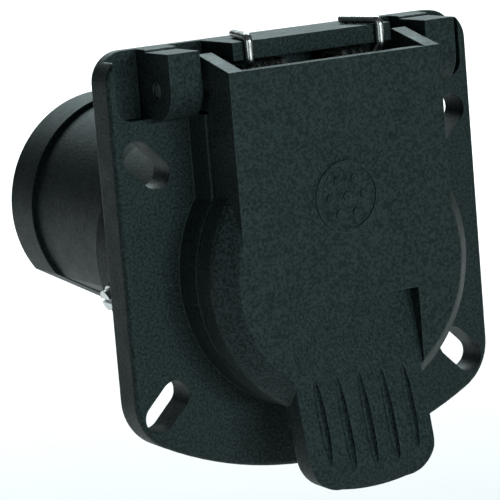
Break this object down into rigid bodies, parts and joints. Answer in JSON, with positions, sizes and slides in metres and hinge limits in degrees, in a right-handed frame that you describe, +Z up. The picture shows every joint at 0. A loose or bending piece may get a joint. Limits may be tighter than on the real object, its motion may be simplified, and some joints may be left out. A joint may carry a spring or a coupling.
{
  "type": "trailer wiring socket",
  "caption": "Vehicle-side trailer wiring socket: square flange, sprung flip-up lid over a round mouth with blade contacts, and a barrel behind for the wires.",
  "frame": {"origin": "centre of the four mounting slots on the flange's rear (mounting) face, on the axis of the socket mouth", "axes": "-Y out of the socket mouth toward the lid, +Y along the barrel toward the wires, +Z up toward the lid hinge"},
  "size_m": [0.076, 0.1109, 0.0843],
  "materials": {
    "housing_nylon": "moulded glass-filled nylon, fine matte texture",
    "lid_nylon": "moulded glass-filled nylon, fine matte texture",
    "cap_nylon": "moulded glass-filled nylon, satin",
    "carrier_nylon": "moulded insulator, satin",
    "gasket_rubber": "soft EPDM rubber",
    "grommet_rubber": "soft EPDM rubber",
    "pin_steel": "drawn stainless steel",
    "spring_steel": "drawn stainless spring wire",
    "contact_brass": "stamped brass",
    "screw_brass": "turned brass",
    "screw_zinc": "zinc-plated steel"
  },
  "bodies": {
    "socket": {"housing": "housing_nylon", "hinge_pin": "pin_steel", "lid_spring": "spring_steel", "contact_carrier": "carrier_nylon", "contact_ground": "contact_brass", "contact_brake": "contact_brass", "contact_tail": "contact_brass", "contact_charge": "contact_brass", "contact_left_turn": "contact_brass", "contact_right_turn": "contact_brass", "contact_reverse": "contact_brass", "terminal_washers": "screw_brass", "terminal_screws": "screw_brass", "insert_washer": "screw_zinc", "insert_screw": "screw_zinc", "rear_cap": "cap_nylon", "cap_screws": "screw_zinc", "cable_grommet": "grommet_rubber"},
    "lid_assembly": {"lid": "lid_nylon", "lid_gasket": "gasket_rubber"}
  },
  "joints": [
    {"name": "lid_hinge", "type": "hinge", "parent": "socket", "child": "lid_assembly", "pos_m": [0, -0.0097, 0.0356], "axis": [-1, 0, 0], "range_deg": [0, 105], "stiffness_Nm_per_rad": 0.05, "springref_deg": -68.75, "deforming": ["lid_spring"]}
  ]
}
